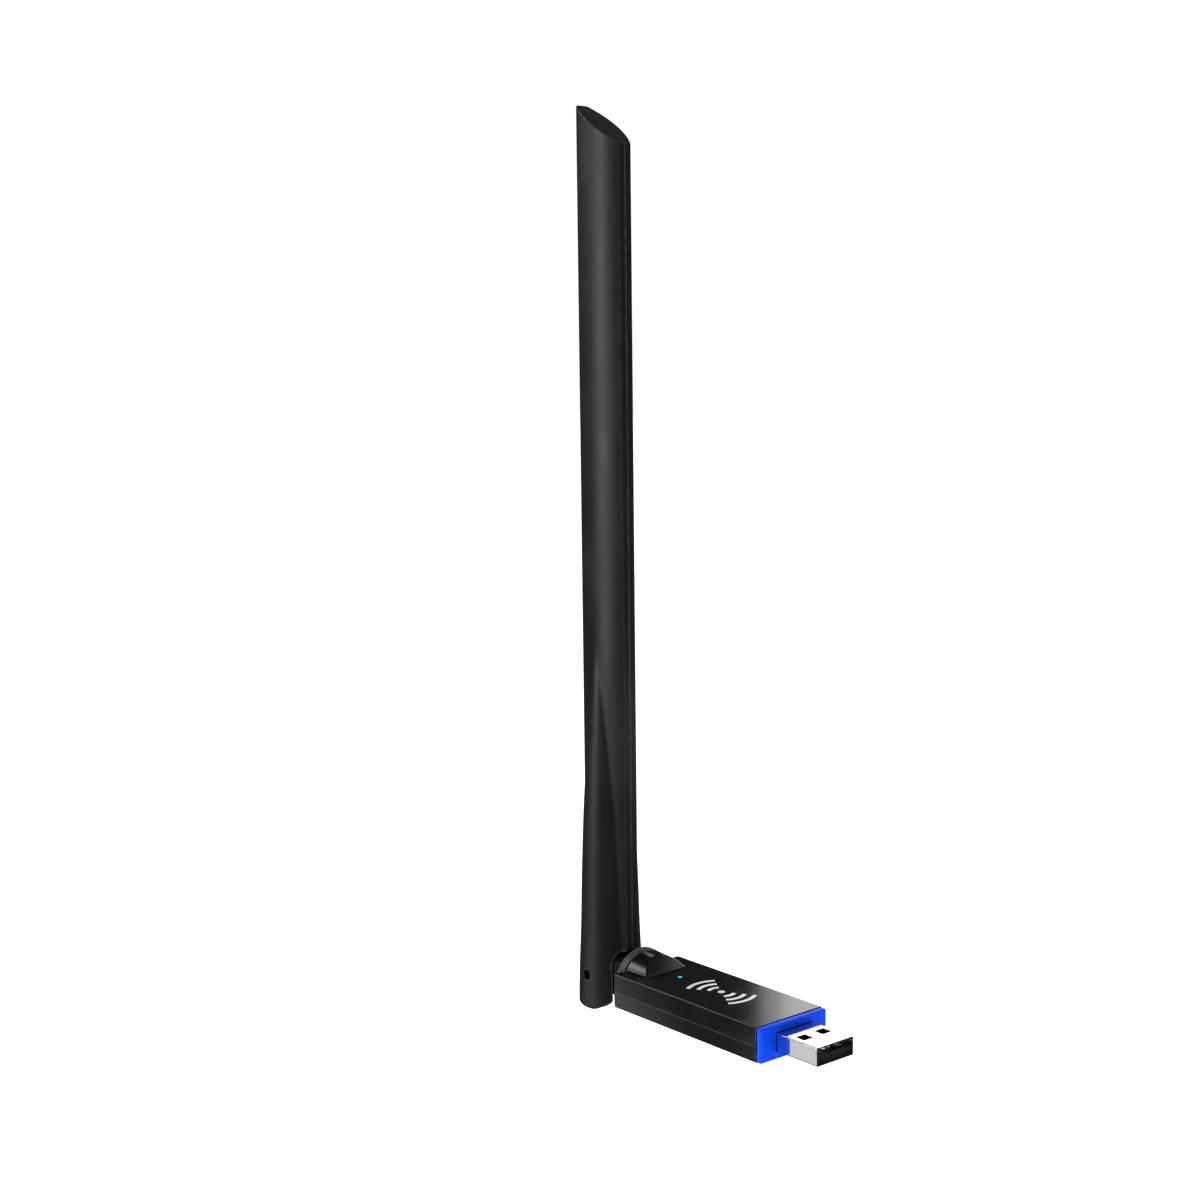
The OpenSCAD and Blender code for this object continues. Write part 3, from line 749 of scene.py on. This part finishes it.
def make_knuckle():
    """Shaft, neck and hinge barrel in one moulding, hollow for the lead"""
    half = KNUCKLE_HALF_WIDTH
    reach = half + PAST
    knuckle = rod("knuckle", PIN_X, RING_LOW.x, NECK_RADIUS, steps=144)
    flats = box("flats", (PIN_X, -half, -NECK_HALF_HEIGHT), (RING_LOW.x, half, NECK_HALF_HEIGHT))
    combine(knuckle, flats, "INTERSECT")
    combine(knuckle, pin_rod("barrel", -half, half, KNUCKLE_RADIUS, steps=144), "UNION")
    combine(knuckle, rod("shaft", RING_LOW.x - PAST, KNUCKLE_HIGH.x, SHAFT_RADIUS), "UNION")
    bore = rod("bore", RING_LOW.x - 2 * PAST, KNUCKLE_HIGH.x + PAST, SHAFT_BORE, steps=48)
    combine(knuckle, bore, "DIFFERENCE")
    combine(knuckle, pin_rod("pin_hole", -reach, reach, PIN_RADIUS + FIT_GAP), "DIFFERENCE")
    combine(knuckle, coax_channel(), "DIFFERENCE")
    soften(knuckle, KNUCKLE_ROUND, segments=2)
    piece(knuckle, "swivel", "hinge_black", ["swivel_knuckle"])


make_ring()
make_knuckle()

# ---------- Antenna ----------

# The blade's section: two shallow arcs that meet blunt edges, with its middle off the pin's axis
BLADE_OFFSET = (STRIP_LOW.x + STRIP_HIGH.x) / 2 - PIN_X
BLADE_HALF_WIDTH = COVER_HIGH.x - PIN_X - BLADE_OFFSET
BLADE_HALF_THICKNESS = 4.2
BLADE_EDGE = 3.8
BLADE_CURVE = ((BLADE_HALF_WIDTH ** 2 + (BLADE_HALF_THICKNESS - BLADE_EDGE / 2) ** 2)
               / (2 * BLADE_HALF_THICKNESS - BLADE_EDGE))
BLADE_MIDDLE = BLADE_CURVE - BLADE_HALF_THICKNESS
FRONT_RIDGE_ROUND = 0.06
REAR_RIDGE_ROUND = 0.45
REAR_SWELL = 0.2
TIP_SLOPE = math.radians(32)
TIP_HEIGHT = COVER_HIGH.z - BLADE_HALF_WIDTH * math.tan(TIP_SLOPE)
TIP_WALL = 2.4
# The tip's rounded rim: how far below the cut face, and how far in from the side
TIP_RIM = [(0.25, 0), (0.06, 0.07), (0, 0.25)]
BASE_BOTTOM = COVER_LOW.z
BASE_RADIUS = PIN_X - COVER_LOW.x
BASE_FILLET = 0.9
BASE_WALL = 1.4
HEEL_RADIUS = 9
# The round base: height above the pin, and the part of the base radius that is left there
BASE_PROFILE = [(-9, 1), (0, 0.978), (12, 0.918), (25, 0.875),
                (42, 0.795), (60, 0.665), (84, 0.5), (96, 0.42)]
# How softly the round base runs out on the blade
RUN_OUT = 0.15
PIN_MOUTH_RADIUS = 1.45
SLOT_HALF_WIDTH = 4.95
SLOT_RADIUS = KNUCKLE_RADIUS + TURN_GAP
SLOT_TOP = 7.1
SLOT_CORNER = 4
BASE_FLOOR = SLOT_TOP + BASE_WALL
LEAD_HOLE_RADIUS = COAX_RADIUS + 0.3


def soft_max(a, b, blend):
    """The larger of two numbers, with a smooth change from one to the other"""
    return (a + b + math.sqrt((a - b) ** 2 + blend ** 2)) / 2


def base_radius(height):
    """Radius of the round base on a smooth curve through its profile"""
    points = BASE_PROFILE
    if height <= points[0][0]:
        return BASE_RADIUS
    if height >= points[-1][0]:
        return BASE_RADIUS * points[-1][1]
    i = max(k for k in range(len(points) - 1) if points[k][0] <= height)
    (z0, r0), (z1, r1) = points[i], points[i + 1]
    before = points[max(i - 1, 0)]
    after = points[min(i + 2, len(points) - 1)]
    span = z1 - z0
    lean0 = (r1 - before[1]) / (z1 - before[0]) if i else 0
    lean1 = (after[1] - r0) / (after[0] - z0)
    t = (height - z0) / span
    value = ((2 * t ** 3 - 3 * t * t + 1) * r0 + (t ** 3 - 2 * t * t + t) * span * lean0
             + (3 * t * t - 2 * t ** 3) * r1 + (t ** 3 - t * t) * span * lean1)
    return BASE_RADIUS * value


def blade_radius(angle, inset):
    """Distance from the pin's axis to the lens-shaped blade's outline, in a direction"""
    c, s = math.cos(angle), math.sin(angle)
    b = c * BLADE_OFFSET - abs(s) * BLADE_MIDDLE
    curved = b + math.sqrt(b * b - BLADE_OFFSET ** 2 - BLADE_MIDDLE ** 2 + (BLADE_CURVE - inset) ** 2)
    if c > 0:
        edge = BLADE_HALF_WIDTH - inset + BLADE_OFFSET
        blend = FRONT_RIDGE_ROUND
    else:
        edge = BLADE_HALF_WIDTH + REAR_SWELL - inset - BLADE_OFFSET
        blend = REAR_RIDGE_ROUND
    return -soft_max(-curved, -edge / max(abs(c), 1e-4), blend)


def ridge_angles():
    """Directions from the front to the rear of one half, closer together at the blade's two ridges"""
    angles = {math.radians(2 * k) for k in range(91)}
    for edge in (BLADE_OFFSET + BLADE_HALF_WIDTH, BLADE_OFFSET - BLADE_HALF_WIDTH):
        ridge = math.atan2(BLADE_EDGE / 2, edge)
        angles |= {ridge + math.radians(0.3 * k) for k in range(-6, 7)}
    return sorted(angles)


ANGLES = ridge_angles()


def half_ring(side, height, inset=0, wall=0, slope=0):
    """One half's outline at a height, closed along the parting plane"""
    ring = []
    for angle in ANGLES:
        round_part = base_radius(height) - (BASE_WALL if wall else 0)
        radius = soft_max(blade_radius(angle, wall), round_part, RUN_OUT) - inset
        x = radius * math.cos(angle)
        y = max(radius * math.sin(angle), 0)
        ring.append((PIN_X + x, side * y, height - slope * math.tan(TIP_SLOPE) * (x - BLADE_OFFSET)))
    return ring


def cover_solid(name, side):
    """The outside of one half: the round base's fillet, its run-out on the blade and the slanted tip"""
    rings = []
    for k in range(6):
        a = math.radians(18 * k)
        height = BASE_BOTTOM + BASE_FILLET * (1 - math.cos(a))
        rings.append(half_ring(side, height, BASE_FILLET * (1 - math.sin(a))))
    start = BASE_BOTTOM + BASE_FILLET
    levels = 100
    run_out_end = BASE_PROFILE[-1][0]
    rings += [half_ring(side, start + (run_out_end - start) * k / levels) for k in range(levels + 1)]
    rings.append(half_ring(side, TIP_HEIGHT - 20))
    rings += [half_ring(side, TIP_HEIGHT - drop, inset, slope=1) for drop, inset in TIP_RIM]
    return skin(name, rings)


def cover_room(side):
    """The space inside one half, above the hinge and open towards the other half"""
    rings = [half_ring(side, BASE_FLOOR + 0.1, wall=WALL)]
    rings += [half_ring(side, z, wall=WALL) for z in range(12, 97, 6)]
    rings.append(half_ring(side, TIP_HEIGHT - TIP_WALL, wall=WALL, slope=1))
    opened = []
    for ring in rings:
        opened.append([(x, y - side * PAST if abs(y) < 1e-6 else y, z) for x, y, z in ring])
    return skin("cover_room", opened)


def slot_cutters():
    """What the hinge's slot, the heel's round and the lead's hole take out of both covers"""
    low = BASE_BOTTOM - PAST
    half = SLOT_HALF_WIDTH
    corner = (half - SLOT_CORNER, SLOT_TOP - SLOT_CORNER)
    arch = [(-half, low), (half, low)]
    arch += arc(corner, SLOT_CORNER, 0, 90, 16)
    arch += arc((-corner[0], corner[1]), SLOT_CORNER, 90, 180, 16)
    front = prism("arch", arch, "x", PIN_X, PIN_X + BASE_RADIUS + 2 * PAST)
    barrel = pin_rod("barrel_room", -half, half, SLOT_RADIUS, steps=128)
    below = box("below", (PIN_X - NECK_HALF_HEIGHT - TURN_GAP, -half, low), (PIN_X + PAST, half, 0))
    outer = HEEL_RADIUS + 3 * PAST
    wedge = [(0, -outer), (outer, -outer), (outer, 0)] + arc((0, 0), HEEL_RADIUS, 0, -90, 40)
    heel = skin("heel", [[(PIN_X + x, y, z) for x, z in wedge] for y in (-outer, outer)])
    lead = upright_rod("lead_hole", PIN_X, 0, BASE_FLOOR + PAST, LEAD_HOLE_RADIUS)
    return [front, barrel, below, heel, lead]


def pin_cutters(side):
    """The pin's hole: open with a wider mouth in the front half, and blind in the rear half"""
    hole = PIN_RADIUS + FIT_GAP
    if side > 0:
        return [pin_rod("pin_room", -PAST, PIN_HIGH.y + FIT_GAP, hole)]
    outside = -BASE_RADIUS - PAST
    return [pin_rod("pin_room", outside, PAST, hole),
            pin_rod("pin_mouth", outside, PIN_LOW.y - FIT_GAP, PIN_MOUTH_RADIUS)]


def make_cover(name, side, node):
    """One half of the antenna's casing: -1 is the front half and 1 the rear half"""
    cover = cover_solid(name, side)
    for cutter in [cover_room(side)] + slot_cutters() + pin_cutters(side):
        combine(cover, cutter, "DIFFERENCE")
    piece(cover, "antenna", "antenna_black", [node], sharp=24)


make_cover("front_cover", -1, "antenna_front_cover")
make_cover("rear_cover", 1, "antenna_rear_cover")

# ---------- Printed symbol ----------

PRINT_HEIGHT = 0.03
SYMBOL_X = PIPE_X + 15
SYMBOL_DOT_RADIUS = 0.9
SYMBOL_ARC_RADII = (3.2, 5.8, 8.4)
SYMBOL_HALF_STROKE = 0.52
SYMBOL_HALF_SWEEP = 32


def make_symbol():
    """A generic radio symbol on the top face: a dot with three pairs of arcs"""
    print_top = BODY_TOP + PRINT_HEIGHT
    parts = [upright_rod("dot", SYMBOL_X, BODY_TOP, print_top, SYMBOL_DOT_RADIUS)]
    for radius in SYMBOL_ARC_RADII:
        for facing in (0, 180):
            start = facing - SYMBOL_HALF_SWEEP
            end = facing + SYMBOL_HALF_SWEEP
            sector = arc((SYMBOL_X, 0), radius + SYMBOL_HALF_STROKE, start, end, 20)
            sector += arc((SYMBOL_X, 0), radius - SYMBOL_HALF_STROKE, end, start, 20)
            parts.append(prism("arc", sector, "z", BODY_TOP, print_top))
    for number, part in enumerate(parts):
        part.name = "radio_symbol_%d" % number
        piece(part, "housing", "led_white")


make_symbol()

# ---------- Stage ----------

FLOOR_DROP = 30
FLOOR_SIZE = 6000
# How bright the studio's white surroundings are for each kind of light ray
WORLD_LEVELS = [("Is Camera Ray", 1.05), ("Is Diffuse Ray", 0.7), ("Is Glossy Ray", 0.03)]


def make_stage():
    """A plain pale floor below the object"""
    low = min(frame["nodes"][n].bound_box[0][2] for n in frame["nodes"])
    bpy.ops.mesh.primitive_plane_add(size=FLOOR_SIZE * MM, location=(0, 0, low - FLOOR_DROP * MM))
    floor = bpy.context.object
    floor.name = "floor"
    material = bpy.data.materials.new("floor_white")
    material.use_nodes = True
    shader = material.node_tree.nodes["Principled BSDF"]
    shader.inputs["Base Color"].default_value = grey(0.9)
    shader.inputs["Roughness"].default_value = 0.9
    shader.inputs["Emission Color"].default_value = grey(1)
    shader.inputs["Emission Strength"].default_value = 0.8
    floor.data.materials.append(material)
    floor.visible_glossy = False


def make_world():
    """White surroundings, dim in reflections so that the softboxes draw the highlights"""
    world = bpy.data.worlds.new("studio")
    world.use_nodes = True
    scene.world = world
    tree = world.node_tree
    back = tree.nodes["Background"]
    back.inputs["Color"].default_value = grey(1)
    path = tree.nodes.new("ShaderNodeLightPath")
    dark = tree.nodes.new("ShaderNodeValue")
    dark.outputs["Value"].default_value = 0
    level = dark.outputs["Value"]
    for ray, strength in WORLD_LEVELS:
        step = tree.nodes.new("ShaderNodeMath")
        step.operation = "MULTIPLY_ADD"
        tree.links.new(path.outputs[ray], step.inputs[0])
        step.inputs[1].default_value = strength
        tree.links.new(level, step.inputs[2])
        level = step.outputs["Value"]
    tree.links.new(level, back.inputs["Strength"])


def softbox(name, azimuth, elevation, distance, width, height, power, aim):
    """An area light that faces a point. Azimuth 0 is on the -Y side and 90 on the +X side."""
    a, e = math.radians(azimuth), math.radians(elevation)
    out = Vector((math.sin(a) * math.cos(e), -math.cos(a) * math.cos(e), math.sin(e)))
    light = bpy.data.lights.new(name, "AREA")
    light.shape = "RECTANGLE"
    light.size = width * MM
    light.size_y = height * MM
    light.energy = power
    holder = bpy.data.objects.new(name, light)
    holder.location = (Vector(aim) + out * distance) * MM
    holder.rotation_euler = out.to_track_quat("Z", "Y").to_euler()
    holder.visible_camera = False
    scene.collection.objects.link(holder)


def make_lights():
    """Large soft lights for the antenna and the housing, and small cards for single faces"""
    softbox("key_light", -26, 0, 600, 210, 340, 1.02, aim=(-60, 0, 180))
    softbox("low_card", -20, -20, 500, 220, 300, 0.17, aim=(-60, 0, 0))
    softbox("side_card", -51, -29, 150, 38, 80, 0.0092, aim=(-66, -8, 0))
    softbox("plug_card", -44, -21, 100, 14, 24, 0.0008, aim=(8, -6, 0))
    softbox("left_card", -65, 36, 800, 260, 220, 0.92, aim=(-50, -5, 5))
    softbox("back_card", -137, 19, 150, 100, 60, 0.023, aim=(25, 25, 4))
    softbox("front_back_card", -137, 19, 150, 100, 60, 0.025, aim=(36, 24, 4))
    softbox("high_back_card", -123, 34, 150, 36, 20, 0.0036, aim=(-50, 0, 8))
    softbox("hump_card", 162.7, 32.4, 76, 34, 34, 0.0075, aim=(-47, 6, 6))
    softbox("tip_card", -146, 40, 300, 160, 160, 0.008, aim=(-66, 0, 210))


make_stage()
make_world()
make_lights()
scene.view_settings.view_transform = "Standard"
